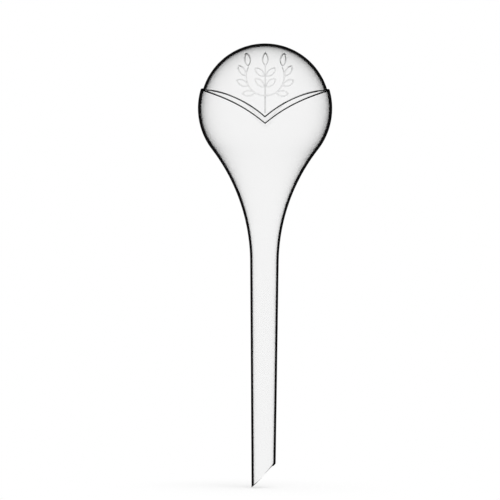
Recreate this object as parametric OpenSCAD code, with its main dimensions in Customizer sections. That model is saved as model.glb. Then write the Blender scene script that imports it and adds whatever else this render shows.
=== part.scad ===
// Watering globe: a clear ball with a hollow stem that is pushed into the soil, filled through its lift-off dome.
// +Z is up the stem, which stands on the origin's level at its lowest point. -Y is the front, and -X is the
// long side of the slanted tip.

/* [Overall] */
// Height from the tip of the stem to the top of the dome
total_h = 280; // [240:1:320]
// Outer diameter of the ball, which is the widest part
ball_d = 84.6; // [76:0.2:96]

/* [Reservoir] */
// Wall of the ball below the rim
bowl_wall = 1.8; // [1.6:0.1:2.6]
// Radius of the hollow curve from the ball into the stem
neck_r = 118; // [90:1:150]
// Outer diameter of the stem at its tip
stem_tip_d = 15; // [12:0.2:20]
// Angle by which each side of the stem leans outwards on its way up
stem_taper = 0.6; // [0.2:0.1:1]
// Wall of the stem
stem_wall = 1.4; // [0.8:0.1:2]
// Slope of the cut across the tip
tip_angle = 45; // [30:1:55]

/* [Rim] */
// Drop from the middle of the ball to the point of the V in the rim
rim_point_drop = 7; // [4:0.1:10]
// Radius of each of the two arcs that meet in the V
rim_arc_r = 84; // [76:0.5:100]
// Distance of each arc's centre from the middle plane
rim_arc_x = 55; // [50:0.5:60]
// Wall of the lip at the outer face, beside the rebate in which the seal lies
lip_wall = 1.2; // [0.9:0.1:1.3]

/* [Dome cap] */
// How far the dome's face stands inside the ball's face, which leaves a ledge
rim_step = 1.4; // [1:0.1:1.6]
// Wall of the dome
dome_wall = 1.7; // [1.4:0.1:2.6]
// Gap between the dome's edge and the lip below it
lip_gap = 0.1; // [0.05:0.05:0.3]
// Width, at the rim, of the two tongues that hold the dome in place inside the points of the V
tongue_w = 28; // [20:1:32]
// Wall of the tongues
tongue_wall = 1.1; // [0.8:0.1:2]
// How far the points of the tongues reach down past the rebate
tongue_lap = 3; // [2:0.5:5]
// Radial play between the tongues and the bowl
tongue_fit = 0.2; // [0.1:0.05:0.4]

/* [Rim seal] */
// Thickness of the seal, which lies on the rebate's floor
seal_t = 0.8; // [0.4:0.1:1.2]
// Radial play between the seal and the lip
seal_fit = 0.1; // [0.05:0.05:0.2]
// Play between the seal and the dome's edge, before the dome is pressed down
seal_gap = 0.1; // [0.05:0.05:0.3]

/* [Raised sprig] */
// Height of the relief above the dome's face
relief_h = 0.5; // [0.3:0.1:0.8]
// Height of the wreath's centre above the middle of the ball
wreath_rise = 21.9; // [20:0.1:23]
// Radius of the two side stalks, which bend up from the middle one
wreath_r = 12; // [10:0.5:13]
// Width of the stalks
stalk_w = 0.8; // [0.6:0.1:1.2]
// How far the middle stalk reaches below the wreath
stalk_foot = 11; // [6:0.5:12]
// Leaves on each side stalk
side_leaves = 4; // [2:1:4]
// Angle of the first side leaf, counted from the wreath's lowest point
first_leaf_at = 30; // [20:1:36]
// Angle from one side leaf to the next
side_leaf_step = 29; // [22:1:32]
// Angle between a side leaf and its stalk
side_leaf_angle = 34; // [25:1:45]
// Pairs of leaves on the middle stalk
mid_pairs = 2; // [1:1:2]
// Height of the first pair above the wreath's lowest point
first_pair_at = 5; // [4:0.2:6]
// Height from one pair to the next
mid_pair_step = 6.6; // [6:0.1:7]
// Angle between a middle leaf and its stalk
mid_leaf_angle = 50; // [40:1:60]
// Length of a leaf
leaf_l = 8.4; // [6:0.2:9]
// Width of a leaf
leaf_w = 4.2; // [3:0.1:4.4]
// Width of the raised line round a leaf
leaf_line_w = 0.8; // [0.6:0.1:1.2]

/* [Hidden] */
$fn = 96;

clear_tint = [0.93, 0.95, 0.95, 0.35];
seal_tint = [0.22, 0.23, 0.23, 0.75];

ball_r = ball_d / 2;
bowl_in_r = ball_r - bowl_wall;
dome_r = ball_r - rim_step;
dome_in_r = dome_r - dome_wall;
ball_z = total_h - dome_r;
ball_centre = [0, ball_z];

stem_tip_r = stem_tip_d / 2;
stem_tip_in_r = stem_tip_r - stem_wall;
// The inner neck curve takes the wall evenly from the bowl's to the stem's
neck_in_r = neck_r + (bowl_wall + stem_wall) / 2;

// Height of the centres of the rim's arcs, so that they meet at the V's point
rim_arc_z = ball_z - rim_point_drop - sqrt(pow(rim_arc_r, 2) - pow(rim_arc_x, 2));
// The rebate is as deep as the seal and its play need
rebate_depth = seal_t + seal_gap - lip_gap;

lip_in_r = ball_r - lip_wall;
tongue_r = bowl_in_r - tongue_fit;

// Cuts run this far past what they cut
over = 5;
reach = ball_r + over;

// Height of the rim's edge at the distance x from the middle plane
function rim_z(x) = rim_arc_z + sqrt(pow(rim_arc_r, 2) - pow(x - rim_arc_x, 2));

// Length of the stem's straight side, up to where the neck's arc touches it. The arc's other end touches the ball
function neck_side(tip_r, arc_r, around_r) =
    let (
        dx = tip_r + arc_r * cos(stem_taper),
        dz = -arc_r * sin(stem_taper) - ball_z,
        half_b = dx * sin(stem_taper) + dz * cos(stem_taper),
        c = pow(dx, 2) + pow(dz, 2) - pow(around_r + arc_r, 2)
    )
    -half_b - sqrt(pow(half_b, 2) - c);

// Half of a ball with its neck and stem, as a profile right of the axis
module globe_profile(around_r, tip_r, arc_r, below) {
    side = neck_side(tip_r, arc_r, around_r);
    foot = [tip_r - below * tan(stem_taper), -below];
    touch = [tip_r + side * sin(stem_taper), side * cos(stem_taper)];
    arc_centre = touch + arc_r * [cos(stem_taper), -sin(stem_taper)];
    intersection() {
        translate(ball_centre) circle(r = around_r);
        translate([0, ball_z - around_r - over]) square([around_r + over, 2 * (around_r + over)]);
    }
    difference() {
        polygon([[0, touch[1]], touch, arc_centre, ball_centre]);
        translate(arc_centre) circle(r = arc_r);
    }
    polygon([[0, -below], foot, touch, [0, touch[1]]]);
}

// Front view of all that lies above the rim's edge, raised by lift
module above_rim(lift) {
    difference() {
        translate([-reach, rim_arc_z + lift]) square([2 * reach, total_h - rim_arc_z + over]);
        for (s = [-1, 1]) translate([s * rim_arc_x, rim_arc_z + lift]) circle(r = rim_arc_r);
    }
}

// Stands a front view up and gives it the depth from y0 to y1
module front_view(y0, y1) {
    translate([0, y1, 0]) rotate([90, 0, 0]) linear_extrude(height = y1 - y0) children();
}

module ball(r) {
    translate([0, 0, ball_z]) sphere(r = r);
}

// One clear moulding: the bowl, the neck and the hollow stem, cut aslant at the tip and in a V at the rim,
// where a rebate inside the lip takes the seal
module reservoir() {
    color(clear_tint) difference() {
        rotate_extrude() difference() {
            globe_profile(ball_r, stem_tip_r, neck_r, 0);
            globe_profile(bowl_in_r, stem_tip_in_r, neck_in_r, over);
        }
        front_view(-reach, reach) above_rim(0);
        intersection() {
            ball(lip_in_r);
            front_view(-reach, reach) above_rim(-rebate_depth);
        }
        translate([-stem_tip_r, 0, 0]) rotate([0, -tip_angle, 0])
            translate([-stem_tip_d, -stem_tip_d, -stem_tip_d]) cube([4, 2, 1] * stem_tip_d);
    }
}

// The dome's two tongues, which lift straight out of the rim. Seen from the front they are one wedge with its
// point down
module tongues() {
    half_w = tongue_w / 2;
    intersection() {
        difference() {
            ball(tongue_r);
            ball(tongue_r - tongue_wall);
        }
        front_view(-reach, reach) difference() {
            polygon([[0, rim_z(0) - rebate_depth - tongue_lap], [half_w, rim_z(half_w)], [half_w, total_h],
                [-half_w, total_h], [-half_w, rim_z(half_w)]]);
            above_rim(lip_gap + dome_wall / 2);
        }
    }
}

// The raised line round a leaf, which lies between two arcs, with its foot at the origin and its tip up
module leaf() {
    arc_r = (pow(leaf_l, 2) + pow(leaf_w, 2)) / (4 * leaf_w);
    difference() {
        leaf_arcs(arc_r, arc_r - leaf_w / 2);
        leaf_arcs(arc_r - leaf_line_w, arc_r - leaf_w / 2);
    }
}

// What two discs of radius r share, their centres aside of the leaf's middle line
module leaf_arcs(r, aside) {
    intersection_for(s = [-1, 1]) translate([s * aside, leaf_l / 2]) circle(r = r);
}

// Front view of the sprig round the wreath's centre: two bent stalks with leaves outside, and an upright one
module sprig() {
    last_leaf_at = first_leaf_at + (side_leaves - 1) * side_leaf_step;
    mid_top = first_pair_at + mid_pairs * mid_pair_step - wreath_r;
    far = 3 * wreath_r;
    for (s = [0, 1]) mirror([s, 0]) for (k = [0 : side_leaves - 1])
        rotate(first_leaf_at + k * side_leaf_step) translate([0, -wreath_r])
            rotate(-90 - side_leaf_angle) translate([0, stalk_w / 2]) leaf();
    difference() {
        circle(r = wreath_r + stalk_w / 2);
        circle(r = wreath_r - stalk_w / 2);
        polygon([[0, 0], far * [-sin(last_leaf_at), -cos(last_leaf_at)], [0, far],
            far * [sin(last_leaf_at), -cos(last_leaf_at)]]);
    }
    for (k = [0 : mid_pairs - 1], s = [-1, 1])
        translate([0, first_pair_at + k * mid_pair_step - wreath_r])
            rotate(s * mid_leaf_angle) translate([0, stalk_w / 2]) leaf();
    translate([0, mid_top]) leaf();
    translate([-stalk_w / 2, -wreath_r - stalk_foot])
        square([stalk_w, wreath_r + stalk_foot + mid_top + leaf_line_w]);
}

// The sprig as a low relief on the front of the dome
module relief() {
    intersection() {
        difference() {
            ball(dome_r + relief_h);
            ball(dome_r - dome_wall / 2);
        }
        translate([0, 0, ball_z + wreath_rise]) front_view(-reach, -over) sprig();
    }
}

// The dome that closes the bowl, with its locating tongues and the raised sprig
module dome_cap() {
    color(clear_tint) union() {
        intersection() {
            difference() {
                ball(dome_r);
                ball(dome_in_r);
            }
            front_view(-reach, reach) above_rim(lip_gap);
        }
        tongues();
        relief();
    }
}

// The soft seal in the rim's rebate, under the dome's edge
module rim_seal() {
    color(seal_tint) intersection() {
        difference() {
            ball(lip_in_r - seal_fit);
            ball(bowl_in_r);
        }
        front_view(-reach, reach) difference() {
            above_rim(-rebate_depth);
            above_rim(seal_t - rebate_depth);
        }
    }
}

reservoir();
dome_cap();
rim_seal();
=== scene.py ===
"""Looks of a clear watering globe: a ball on a hollow stem, a lift-off dome with a raised sprig, a seal."""
import math

import bpy
import numpy as np
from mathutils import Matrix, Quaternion, Vector


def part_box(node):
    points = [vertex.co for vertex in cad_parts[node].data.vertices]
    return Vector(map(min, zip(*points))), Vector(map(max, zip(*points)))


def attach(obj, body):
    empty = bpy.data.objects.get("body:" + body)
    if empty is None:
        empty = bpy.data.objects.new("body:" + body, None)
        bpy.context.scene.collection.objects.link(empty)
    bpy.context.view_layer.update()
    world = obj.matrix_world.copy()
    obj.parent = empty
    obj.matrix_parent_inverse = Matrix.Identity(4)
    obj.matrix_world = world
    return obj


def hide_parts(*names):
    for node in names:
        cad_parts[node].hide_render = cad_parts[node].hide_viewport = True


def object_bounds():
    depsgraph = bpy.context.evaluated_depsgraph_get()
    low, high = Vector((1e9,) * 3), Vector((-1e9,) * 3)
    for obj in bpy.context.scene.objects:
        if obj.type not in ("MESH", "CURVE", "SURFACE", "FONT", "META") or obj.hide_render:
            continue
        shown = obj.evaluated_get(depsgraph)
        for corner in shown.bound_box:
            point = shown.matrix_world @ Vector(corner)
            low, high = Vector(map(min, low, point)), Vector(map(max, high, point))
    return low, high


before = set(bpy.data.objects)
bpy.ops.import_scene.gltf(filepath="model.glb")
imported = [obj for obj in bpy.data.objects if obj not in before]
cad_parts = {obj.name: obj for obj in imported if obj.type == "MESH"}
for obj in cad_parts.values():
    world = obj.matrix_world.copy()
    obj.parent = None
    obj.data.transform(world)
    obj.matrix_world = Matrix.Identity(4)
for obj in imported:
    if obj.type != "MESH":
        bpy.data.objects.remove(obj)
cad_low, cad_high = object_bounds()

# Reservoir: the bowl, the neck and the hollow stem, one clear acrylic moulding, blown and then trimmed. The
# tip is cut at 45 degrees, to open a way into the soil, and the rim in a V at the front and the back. The
# rim's lip stands up outside a milled rebate for the seal.
mm = 0.001
ball_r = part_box("reservoir")[1].x / mm
dome_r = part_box("dome_cap")[1].y / mm
ball_z = cad_high.z / mm - dome_r
bowl_wall = 1.8
stem_wall = 1.4
stem_tip_r = 7.5
stem_taper = math.radians(0.6)
neck_r = 118
tip_slope = math.tan(math.radians(45))
rim_point_drop = 7
rim_arc_r = 84
rim_arc_x = 55
rim_arc_z = ball_z - rim_point_drop - math.sqrt(rim_arc_r**2 - rim_arc_x**2)
rebate_depth = 0.8
lip_wall = 1.2
rim_round = 0.4
rim_round_rows = 7
milled_round = 0.15
milled_round_rows = 3
tip_round = 0.1
tip_round_rows = 4
# Long faces end this far short of their rounded corners, which keeps the corners' shading off them
corner_hold = 0.02
sharp_from = math.radians(35)
# The stem's straight share of a side needs few rows, and the neck and the bowl take the others
stem_share = 0.42
stem_rows = 10
bowl_rows = 118
around = 256

azimuth = np.linspace(0, 2 * np.pi, around, endpoint=False)


def globe_radius(z, ball_radius, tip_radius, arc_radius):
    """Radius of a face of the moulding at the height z. It is a line that leans outwards on the stem, an arc
    hollow to the outside in the neck, and a circle in the ball, each touching the next."""
    lean = np.array([math.sin(stem_taper), math.cos(stem_taper)])
    aside = np.array([math.cos(stem_taper), -math.sin(stem_taper)])
    start = np.array([tip_radius, 0]) + arc_radius * aside - np.array([0, ball_z])
    half_b = start @ lean
    side = -half_b - math.sqrt(half_b**2 - start @ start + (ball_radius + arc_radius) ** 2)
    touch = np.array([tip_radius, 0]) + side * lean
    arc = touch + arc_radius * aside
    meet_z = ball_z + (arc[1] - ball_z) * ball_radius / (ball_radius + arc_radius)
    on_stem = tip_radius + z * math.tan(stem_taper)
    on_neck = arc[0] - np.sqrt(np.maximum(arc_radius**2 - (z - arc[1]) ** 2, 0))
    in_ball = np.sqrt(np.maximum(ball_radius**2 - (z - ball_z) ** 2, 0))
    return np.where(z < touch[1], on_stem, np.where(z < meet_z, on_neck, in_ball))


def rim_height(x):
    """Height of the rim at the distance x from the middle plane: two arcs that meet in the V's point."""
    return rim_arc_z + np.sqrt(rim_arc_r**2 - (np.abs(x) - rim_arc_x) ** 2)


def settle(z, step, times=40):
    """The height that step gives back unchanged, found by taking it again and again."""
    for _ in range(times):
        z = step(z)
    return z


def at(radius, z, angle):
    """Points at a radius and a height, one column for each angle round the axis."""
    return np.stack([radius * np.cos(angle), radius * np.sin(angle), np.broadcast_to(z, radius.shape)], -1)


def corner(before, point, after, size, rows):
    """Rows of a rounded corner: a parabola that leaves the line to the row before at the distance size from
    the corner and joins the line to the row after at the same distance."""
    back = before - point
    on = after - point
    back *= size / np.linalg.norm(back, axis=-1, keepdims=True)
    on *= size / np.linalg.norm(on, axis=-1, keepdims=True)
    t = np.linspace(0, 1, rows)[:, None, None]
    return point + (1 - t) ** 2 * back + t**2 * on


def closed_faces(rows, columns):
    """Faces of a grid that closes on itself both ways, as a ring with a thick wall does."""
    row, column = np.meshgrid(np.arange(rows), np.arange(columns), indexing="ij")
    next_row = (row + 1) % rows
    next_column = (column + 1) % columns
    faces = np.stack([row * columns + column, row * columns + next_column,
                      next_row * columns + next_column, next_row * columns + column], -1)
    return faces.reshape(-1, 4)


def make_piece(name, points, quads, triangles=None):
    """A mesh piece from points in millimetres and faces that point outwards. It is smooth but for the edges
    sharper than sharp_from."""
    mesh = bpy.data.meshes.new(name)
    triangles = np.zeros((0, 3), int) if triangles is None else triangles
    corners = np.concatenate([quads.ravel(), triangles.ravel()])
    sizes = np.concatenate([np.full(len(quads), 4), np.full(len(triangles), 3)])
    mesh.vertices.add(len(points))
    mesh.vertices.foreach_set("co", (points * mm).ravel())
    mesh.loops.add(len(corners))
    mesh.loops.foreach_set("vertex_index", corners)
    mesh.polygons.add(len(sizes))
    mesh.polygons.foreach_set("loop_start", np.concatenate([[0], np.cumsum(sizes)[:-1]]))
    mesh.polygons.foreach_set("use_smooth", np.ones(len(sizes), bool))
    mesh.update(calc_edges=True)
    mesh.set_sharp_from_angle(angle=sharp_from)
    mesh.validate()
    piece = bpy.data.objects.new(name, mesh)
    bpy.context.scene.collection.objects.link(piece)
    return piece


def on_ball(radius):
    """The function that gives the distance from the axis, at a height, of a ball of that radius."""
    return lambda z: np.sqrt(np.maximum(radius**2 - (z - ball_z) ** 2, 0))


def meet_rim(face, lift, angle):
    """Points in which a face, given as its radius by height, meets the rim's curve raised by lift."""
    z = settle(np.full(len(angle), ball_z), lambda z: rim_height(face(z) * np.cos(angle)) + lift)
    return at(face(z), z, angle)


def meet_tip(face):
    """Points in which a face meets the slanted plane of the tip's cut."""
    z = settle(np.zeros(around), lambda z: (face(z) * np.cos(azimuth) + stem_tip_r) * tip_slope)
    return at(face(z), z, azimuth)


def reservoir_points():
    """Rows up the outer face from the tip to the rim, over the lip, across the rebate, and down the inner
    face to the tip again. Each row has one point for every angle round the axis, so that the rim and the tip
    can rise and fall with it."""
    outer = lambda z: globe_radius(z, ball_r, stem_tip_r, neck_r)
    inner = lambda z: globe_radius(z, ball_r - bowl_wall, stem_tip_r - stem_wall,
                                   neck_r + (bowl_wall + stem_wall) / 2)
    lip_inner = on_ball(ball_r - lip_wall)
    lip_o = meet_rim(outer, 0, azimuth)
    lip_i = meet_rim(lip_inner, 0, azimuth)
    floor_o = meet_rim(lip_inner, -rebate_depth, azimuth)
    floor_i = meet_rim(inner, -rebate_depth, azimuth)
    tip_o, tip_i = meet_tip(outer), meet_tip(inner)
    share = np.concatenate([np.linspace(0, stem_share, stem_rows, endpoint=False),
                            np.linspace(stem_share, 1, bowl_rows)])[:, None]
    foot_o = tip_o[:, 2] + tip_round + corner_hold
    foot_i = tip_i[:, 2] + tip_round + corner_hold
    z_o = foot_o + (lip_o[:, 2] - rim_round - corner_hold - foot_o) * share
    z_i = foot_i + (floor_i[:, 2] - milled_round - corner_hold - foot_i) * share
    side_o = at(outer(z_o), z_o, azimuth)
    side_i = at(inner(z_i), z_i, azimuth)
    return np.concatenate([
        side_o,
        corner(side_o[-1], lip_o, lip_i, rim_round, rim_round_rows),
        corner(lip_o, lip_i, floor_o, milled_round, milled_round_rows),
        corner(lip_i, floor_o, floor_i, milled_round, milled_round_rows),
        corner(floor_o, floor_i, side_i[-1], milled_round, milled_round_rows),
        side_i[::-1],
        corner(side_i[0], tip_i, tip_o, tip_round, tip_round_rows),
        corner(tip_i, tip_o, side_o[0], tip_round, tip_round_rows),
    ])


def linear(colour):
    """The linear value of an sRGB colour written as six hex digits."""
    parts = [int(colour[i:i + 2], 16) / 255 for i in (1, 3, 5)]
    return [c / 12.92 if c <= 0.04045 else ((c + 0.055) / 1.055) ** 2.4 for c in parts] + [1]


def put(tree, kind, settings=(), **inputs):
    """Adds one node. Settings are its own choices. Inputs are values or other nodes' outputs, by the name of
    the socket or, after a _, by its number."""
    node = tree.nodes.new(kind)
    for name, value in dict(settings).items():
        setattr(node, name, value)
    for name, value in inputs.items():
        place = int(name[1:]) if name[0] == "_" else name.replace("_", " ")
        if isinstance(value, bpy.types.NodeSocket):
            tree.links.new(value, node.inputs[place])
        else:
            node.inputs[place].default_value = value
    return node


def empty_material(name):
    """A new material with an empty node tree."""
    material = bpy.data.materials.new(name)
    material.use_nodes = True
    material.node_tree.nodes.clear()
    return material


def clear_acrylic(name, flank=None):
    """Moulded clear acrylic with a polished face. What the eye gets is a bright middle, tones that darken to
    the edge, and a black outline as wide as the wall, where light can't pass the wall's inner face."""
    clear = linear("#fefefe")
    material = empty_material(name)
    tree = material.node_tree
    place = put(tree, "ShaderNodeTexCoord").outputs["Object"]
    # Faint waves of a blown wall
    wave_spacing = 14
    wave_depth = 0.4
    waves = put(tree, "ShaderNodeTexNoise", Vector=place, Scale=1 / (wave_spacing * mm), Detail=1.0)
    relief = put(tree, "ShaderNodeBump", Strength=0.05, Distance=wave_depth * mm,
                 Height=waves.outputs["Fac"])
    # Haze from handling, in patches
    haze_patch = 5
    haze = put(tree, "ShaderNodeTexNoise", Vector=place, Scale=1 / (haze_patch * mm), Detail=3.0)
    gloss = put(tree, "ShaderNodeMapRange", Value=haze.outputs["Fac"], To_Min=0.0, To_Max=0.02)
    # Acrylic's own index is 1.49. A lower one gives the tones inside the outline that the real globe shows
    shader = put(tree, "ShaderNodeBsdfPrincipled", Base_Color=clear, IOR=1.34, Transmission_Weight=1.0,
                 Roughness=gloss.outputs["Result"], Normal=relief.outputs["Normal"])
    if flank:
        # Painted shade: a relief's flanks turn the light aside, and their colour is painted grey for it, so
        # that its lines are drawn in grey
        steep = put(tree, "ShaderNodeAttribute", {"attribute_name": flank})
        painted_flank_shade = put(tree, "ShaderNodeMix", {"data_type": "RGBA"}, _0=steep.outputs["Fac"],
                   _6=clear, _7=linear("#5c5e5e"))
        tree.links.new(painted_flank_shade.outputs[2], shader.inputs["Base Color"])
    put(tree, "ShaderNodeOutputMaterial", Surface=shader.outputs["BSDF"])
    return material


reservoir_rows = reservoir_points()
reservoir = make_piece("reservoir_moulding", reservoir_rows.reshape(-1, 3),
                       closed_faces(len(reservoir_rows), around))
reservoir.data.materials.append(clear_acrylic("clear_acrylic_reservoir"))
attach(reservoir, "reservoir_body")
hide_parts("reservoir")

# Rim seal: a thin cord of smoky silicone, moulded as a closed ring. It is laid in the rim's rebate, where it
# follows the V under the dome's edge, and it stays there when the dome is lifted off.
seal_t = 0.8
seal_fit = 0.1
seal_round = 0.12
seal_round_rows = 5
# The seal lies this far over the rebate's floor, so that no two faces share a place
seal_seat = 0.03


def smoky_silicone(name):
    """Translucent silicone with a satin face. It is smoky against the clear plastic, so that the eye sees
    the joint as one thin grey line."""
    material = empty_material(name)
    tree = material.node_tree
    place = put(tree, "ShaderNodeTexCoord").outputs["Object"]
    # The grain of the mould is finer than 0.1 mm, and is drawn coarser so that it can show
    grain_size = 0.4
    grain_depth = 0.1
    grain = put(tree, "ShaderNodeTexNoise", Vector=place, Scale=1 / (grain_size * mm), Detail=2.0)
    relief = put(tree, "ShaderNodeBump", Strength=0.2, Distance=grain_depth * mm,
                 Height=grain.outputs["Fac"])
    gloss = put(tree, "ShaderNodeMapRange", Value=grain.outputs["Fac"], To_Min=0.25, To_Max=0.4)
    shader = put(tree, "ShaderNodeBsdfPrincipled", Base_Color=linear("#1e2020"), IOR=1.41,
                 Transmission_Weight=0.6, Roughness=gloss.outputs["Result"], Normal=relief.outputs["Normal"])
    put(tree, "ShaderNodeOutputMaterial", Surface=shader.outputs["BSDF"])
    return material


seal_foot = seal_seat - rebate_depth
seal_top = seal_t - rebate_depth
seal_out_r = ball_r - lip_wall - seal_fit
seal_in_r = ball_r - bowl_wall
seal_corners = [(seal_out_r, seal_foot), (seal_out_r, seal_top),
                (seal_in_r, seal_top), (seal_in_r, seal_foot)]
seal_ring = [meet_rim(on_ball(radius), lift, azimuth) for radius, lift in seal_corners]
seal_sides = len(seal_ring)
seal_rows = np.concatenate([
    corner(seal_ring[k - 1], seal_ring[k], seal_ring[(k + 1) % seal_sides], seal_round, seal_round_rows)
    for k in range(seal_sides)])
seal = make_piece("seal_band", seal_rows.reshape(-1, 3), closed_faces(len(seal_rows), around))
seal.data.materials.append(smoky_silicone("smoky_silicone_seal"))
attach(seal, "reservoir_body")
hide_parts("rim_seal")

# Dome cap: the lift-off dome, a thinner moulding of the same acrylic. Two tongues reach down inside the V's
# points and keep it in place, and a sprig stands out of its front as a low relief from the mould.
dome_wall = 1.7
lip_gap = 0.1
tongue_w = 28
tongue_wall = 1.1
tongue_lap = 3
tongue_fit = 0.2
tongue_r = ball_r - bowl_wall - tongue_fit
bead_depth = 0.1
edge_round = 0.35
edge_round_rows = 5
toe_round = 0.05
toe_round_rows = 3
relief_h = 0.5
relief_flank = 0.25
wreath_rise = 21.9
wreath_z = ball_z + wreath_rise
wreath_r = 12
stalk_w = 0.8
stalk_foot = 11
side_leaves = 4
first_leaf_at = math.radians(30)
side_leaf_step = math.radians(29)
side_leaf_angle = math.radians(34)
mid_pairs = 2
first_pair_at = 5
mid_pair_step = 6.6
mid_leaf_angle = math.radians(50)
leaf_l = 8.4
leaf_w = 4.2
leaf_line_w = 0.8

# Shares of the way from the dome's top to its edge, and rows: few in the crown and many over the sprig
pole_share = 0.02
crown_share = 0.22
crown_rows = 12
sprig_share = 0.97
sprig_rows = 190
edge_rows = 5
tongue_rows = 8
inside_rows = 47

# Angles from the front: close together at the sprig and at the edges of the back tongue
front = -90
fine_half = 33
fine_step = 0.38
coarse_step = 3
tongue_edge = math.degrees(math.asin(tongue_w / 2 / tongue_r))
edge_half = 2
stretches = [
    (-fine_half, fine_half, fine_step),
    (fine_half, 180 - tongue_edge - edge_half, coarse_step),
    (180 - tongue_edge - edge_half, 180 - tongue_edge + edge_half, fine_step),
    (180 - tongue_edge + edge_half, 180 + tongue_edge - edge_half, coarse_step),
    (180 + tongue_edge - edge_half, 180 + tongue_edge + edge_half, fine_step),
    (180 + tongue_edge + edge_half, 360 - fine_half, coarse_step),
]
dome_azimuth = np.radians(front + np.concatenate(
    [np.linspace(a, b, round((b - a) / step), endpoint=False) for a, b, step in stretches]))


def turned(x, y, angle):
    """A point's coordinates in a frame turned by angle, counter-clockwise in the front view."""
    return x * math.cos(angle) + y * math.sin(angle), y * math.cos(angle) - x * math.sin(angle)


def leaf_line(x, y):
    """Distance outwards from the raised line round a leaf whose foot is at the origin and whose tip is up.
    The leaf is what two discs share, and the line lies inside its edge."""
    arc_r = (leaf_l**2 + leaf_w**2) / (4 * leaf_w)
    edge = np.hypot(np.abs(x) + arc_r - leaf_w / 2, y - leaf_l / 2) - arc_r
    return np.abs(edge + leaf_line_w / 2) - leaf_line_w / 2


def sprig_line(x, y):
    """Distance outwards from the nearest raised line of the sprig, in the front view round the wreath's
    centre: two bent stalks, arcs with leaves along them, and an upright one with leaves in pairs."""
    side_x = np.abs(x)
    turn = np.arctan2(side_x, -y)
    last_leaf_at = first_leaf_at + (side_leaves - 1) * side_leaf_step
    mid_top = first_pair_at + mid_pairs * mid_pair_step - wreath_r
    bent = np.abs(np.hypot(x, y) - wreath_r) - stalk_w / 2
    upright = np.maximum(-wreath_r - stalk_foot - y, y - mid_top - leaf_line_w)
    lines = [np.where(turn < last_leaf_at, bent, stalk_w)]
    lines.append(np.maximum(side_x - stalk_w / 2, upright))
    for k in range(side_leaves):
        leaf_x, leaf_y = turned(side_x, y, first_leaf_at + k * side_leaf_step)
        leaf_x, leaf_y = turned(leaf_x, leaf_y + wreath_r, -np.pi / 2 - side_leaf_angle)
        lines.append(leaf_line(leaf_x, leaf_y - stalk_w / 2))
    for k in range(mid_pairs):
        leaf_x, leaf_y = turned(side_x, y - first_pair_at - k * mid_pair_step + wreath_r, -mid_leaf_angle)
        lines.append(leaf_line(leaf_x, leaf_y - stalk_w / 2))
    lines.append(leaf_line(x, y - mid_top))
    return np.min(lines, axis=0)


def meet_tongue(face, angle):
    """Points in which a face meets the tongues' lower edges. Each edge is a straight line from below the V's
    point up to the dome's edge at half the tongue's width, and beyond it runs on as the bead's, beside the
    dome's."""
    low = rim_height(0) - rebate_depth - tongue_lap
    slope = (rim_height(tongue_w / 2) - low) / (tongue_w / 2)

    def step(z):
        x = np.abs(face(z) * np.cos(angle))
        return np.minimum(low + slope * x, rim_height(x) + lip_gap - bead_depth)

    z = settle(np.full(len(angle), ball_z), step)
    return at(face(z), z, angle)


def dome_points():
    """Rows from the top down the outer face, under the edge, down the tongues' outer face, up their inner
    face and up the dome's inner face to the top. The outer face is a ball raised along the sprig's lines.
    Beside the tongues their rows shrink to a low bead. It also gives back how steep the relief is at each
    point of the outer face, where 1 is a flank's middle."""
    tongue_out = on_ball(tongue_r)
    tongue_in = on_ball(tongue_r - tongue_wall)
    inner = on_ball(dome_r - dome_wall)
    edge = meet_rim(on_ball(dome_r), lip_gap, dome_azimuth)
    under = meet_rim(tongue_out, lip_gap, dome_azimuth)
    toe_o = meet_tongue(tongue_out, dome_azimuth)
    toe_i = meet_tongue(tongue_in, dome_azimuth)
    head_i = meet_rim(tongue_in, lip_gap + dome_wall / 2, dome_azimuth)
    share = np.concatenate([np.linspace(pole_share, crown_share, crown_rows, endpoint=False),
                            np.linspace(crown_share, sprig_share, sprig_rows),
                            np.linspace(sprig_share, 1, edge_rows)[1:]])[:, None]
    polar = share * (np.arccos((edge[:, 2] - ball_z) / dome_r) - (edge_round + corner_hold) / dome_r)
    x = dome_r * np.sin(polar) * np.cos(dome_azimuth)
    y = dome_r * np.sin(polar) * np.sin(dome_azimuth)
    z = ball_z + dome_r * np.cos(polar)
    line = np.where(y < 0, sprig_line(x, z - wreath_z), np.inf)
    rise = np.clip(-line / relief_flank, 0, 1)
    grow = 1 + relief_h / dome_r * rise**2 * (3 - 2 * rise)
    outer = np.stack([x * grow, y * grow, ball_z + (z - ball_z) * grow], -1)
    steep = np.clip(1 - np.abs(2 * rise - 1), 0, 1)
    down = np.linspace(0, 1, tongue_rows)[:, None]
    foot_o = toe_o[:, 2] + toe_round + corner_hold
    foot_i = toe_i[:, 2] + toe_round + corner_hold
    tongue_z_o = under[:, 2] + (foot_o - under[:, 2]) * down
    tongue_z_i = foot_i + (head_i[:, 2] - foot_i) * down
    up = np.linspace(1, pole_share, inside_rows)[1:, None]
    polar_i = up * np.arccos((head_i[:, 2] - ball_z) / (dome_r - dome_wall))
    inner_z = ball_z + (dome_r - dome_wall) * np.cos(polar_i)
    tongue_o = at(tongue_out(tongue_z_o), tongue_z_o, dome_azimuth)
    tongue_i = at(tongue_in(tongue_z_i), tongue_z_i, dome_azimuth)
    rows = [
        outer,
        corner(outer[-1], edge, under, edge_round, edge_round_rows),
        tongue_o,
        corner(tongue_o[-1], toe_o, toe_i, toe_round, toe_round_rows),
        corner(toe_o, toe_i, tongue_i[0], toe_round, toe_round_rows),
        tongue_i,
        at(inner(inner_z), inner_z, dome_azimuth),
    ]
    return np.concatenate(rows), steep


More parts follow.
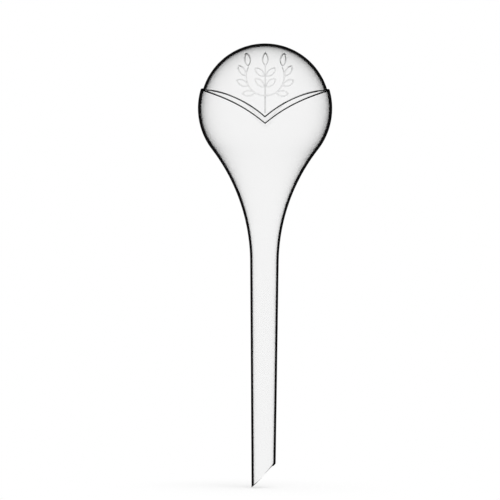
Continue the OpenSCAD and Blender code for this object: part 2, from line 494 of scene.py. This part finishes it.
# The grid runs from the outer face's top to the inner face's, and a fan of triangles closes it at each
dome_rows, dome_steep = dome_points()
dome_around = len(dome_azimuth)
dome_faces = closed_faces(len(dome_rows), dome_around)[:-dome_around]
dome_count = dome_rows.shape[0] * dome_around
column = np.arange(dome_around)
beside = (column + 1) % dome_around
last_row = dome_count - dome_around
top_fan = np.stack([np.full(dome_around, dome_count), beside, column], -1)
under_fan = np.stack([np.full(dome_around, dome_count + 1), last_row + column, last_row + beside], -1)
tops = np.array([[0, 0, ball_z + dome_r], [0, 0, ball_z + dome_r - dome_wall]])
dome = make_piece("dome_moulding", np.concatenate([dome_rows.reshape(-1, 3), tops]), dome_faces[:, ::-1],
                  np.concatenate([top_fan, under_fan])[:, ::-1])
# Painted shade: how steep the relief is goes onto the dome, and its material paints the flanks grey by it
flank = dome.data.attributes.new("relief_flank", "FLOAT", "POINT")
flank_values = np.zeros(dome_count + len(tops))
flank_values[:dome_steep.size] = dome_steep.ravel()
flank.data.foreach_set("value", flank_values)
dome.data.materials.append(clear_acrylic("clear_acrylic_dome", "relief_flank"))
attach(dome, "cap_body")
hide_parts("dome_cap")

# Studio: the globe stands on the point of its stem on a white floor, against a white backdrop, which shows
# through the plastic too. What the plastic reflects is a dark studio, which draws its outline.
dark_studio = 0.006
room_light = 0.6
# Glossy Depth counts a ray's reflections, and is above this from the first one on
reflected_from = 0.5
# In metres. The floor lies just under the tip, so that the two don't share a place
floor_half = 3.0
floor_z = -0.0003
shadow_r = 0.1
lamp_d = 1.2
lamp_at = (0.4, -0.6, 1.5)
lamp_watts = 14
# The picture's width at the globe, and the column of the axis and the row of the tip in it
picture_mm = 315.1
picture_pixels = 500
axis_pixel = 263.95
tip_pixel = 486.8
view_rise = math.radians(3.15)
view_roll = math.radians(0.246)
view_reach = 20
lens_mm = 1500
sensor_mm = 36


def backdrop_share(tree):
    """1 for the camera's rays and for those that reached the stage through clear plastic without being
    reflected. It also gives back the outputs of the Light Path node."""
    path = put(tree, "ShaderNodeLightPath").outputs
    through = put(tree, "ShaderNodeMath", {"operation": "MULTIPLY"},
                  _0=path["Is Transmission Ray"], _1=path["Is Glossy Ray"])
    direct = put(tree, "ShaderNodeMath", {"operation": "LESS_THAN"},
                 _0=path["Glossy Depth"], _1=reflected_from)
    shown = put(tree, "ShaderNodeMath", {"operation": "MAXIMUM"},
                _0=path["Is Camera Ray"], _1=through.outputs[0])
    both = put(tree, "ShaderNodeMath", {"operation": "MULTIPLY"}, _0=shown.outputs[0], _1=direct.outputs[0])
    return both.outputs[0], path


world = bpy.data.worlds.new("studio")
world.use_nodes = True
tree = world.node_tree
tree.nodes.clear()
bpy.context.scene.world = world
white, path = backdrop_share(tree)
dim = put(tree, "ShaderNodeMapRange", Value=path["Is Diffuse Ray"], To_Min=dark_studio, To_Max=room_light)
level = put(tree, "ShaderNodeMix", _0=white, _2=dim.outputs["Result"], _3=1.0)
sky = put(tree, "ShaderNodeBackground", Color=linear("#ffffff"), Strength=level.outputs[0])
put(tree, "ShaderNodeOutputWorld", Surface=sky.outputs["Background"])

floor_mesh = bpy.data.meshes.new("floor")
floor_mesh.from_pydata([(-floor_half, -floor_half, floor_z), (floor_half, -floor_half, floor_z),
                        (floor_half, floor_half, floor_z), (-floor_half, floor_half, floor_z)],
                       [], [(0, 1, 2, 3)])
floor = bpy.data.objects.new("floor", floor_mesh)
bpy.context.scene.collection.objects.link(floor)
floor_paint = empty_material("white_floor_paper")
tree = floor_paint.node_tree
white, path = backdrop_share(tree)
reflected = put(tree, "ShaderNodeMath", {"operation": "GREATER_THAN"},
                _0=path["Glossy Depth"], _1=reflected_from).outputs[0]
place = put(tree, "ShaderNodeTexCoord").outputs["Object"]
away = put(tree, "ShaderNodeVectorMath", {"operation": "LENGTH"}, _0=place).outputs["Value"]
# Near the tip the paper's own shading takes a share, which keeps the shadow there
keep = put(tree, "ShaderNodeMapRange", {"interpolation_type": "SMOOTHSTEP"}, Value=away,
           From_Min=0.0, From_Max=shadow_r, To_Min=0.6, To_Max=1.0)
paper = put(tree, "ShaderNodeBsdfDiffuse", Color=linear("#fafafa"))
level = put(tree, "ShaderNodeMapRange", Value=reflected, To_Min=1.0, To_Max=dark_studio)
glow = put(tree, "ShaderNodeEmission", Color=linear("#ffffff"), Strength=level.outputs["Result"])
kept = put(tree, "ShaderNodeMath", {"operation": "MULTIPLY"}, _0=white, _1=keep.outputs["Result"])
share = put(tree, "ShaderNodeMath", {"operation": "MAXIMUM"}, _0=kept.outputs[0], _1=reflected)
mixed = put(tree, "ShaderNodeMixShader", _0=share.outputs[0], _1=paper.outputs[0], _2=glow.outputs[0])
put(tree, "ShaderNodeOutputMaterial", Surface=mixed.outputs[0])
floor_mesh.materials.append(floor_paint)

lamp_data = bpy.data.lights.new("soft_lamp", "AREA")
lamp_data.shape = "DISK"
lamp_data.size = lamp_d
lamp_data.energy = lamp_watts
lamp = bpy.data.objects.new("soft_lamp", lamp_data)
bpy.context.scene.collection.objects.link(lamp)
lamp.location = lamp_at
lamp.rotation_mode = "QUATERNION"
lamp.rotation_quaternion = (-lamp.location).to_track_quat("-Z", "Y")
lamp.visible_camera = False
lamp.visible_glossy = False
lamp.visible_transmission = False

camera_data = bpy.data.cameras.new("camera")
camera_data.lens = lens_mm
camera_data.sensor_width = sensor_mm
camera_data.clip_end = view_reach
camera = bpy.data.objects.new("camera", camera_data)
bpy.context.scene.collection.objects.link(camera)
scale = picture_mm * mm / picture_pixels
middle = (picture_pixels - 1) / 2
right = (middle - axis_pixel) * scale
up = (tip_pixel - middle) * scale
back = Vector((0, -math.cos(view_rise), math.sin(view_rise)))
above = Vector((0, math.sin(view_rise), math.cos(view_rise)))
camera.rotation_mode = "QUATERNION"
camera.rotation_quaternion = (-back).to_track_quat("-Z", "Y") @ Quaternion((0, 0, 1), view_roll)
camera.location = Vector((right, 0, 0)) + above * up + back * picture_mm * mm * lens_mm / sensor_mm
bpy.context.scene.camera = camera

bpy.context.scene.view_settings.view_transform = "Standard"
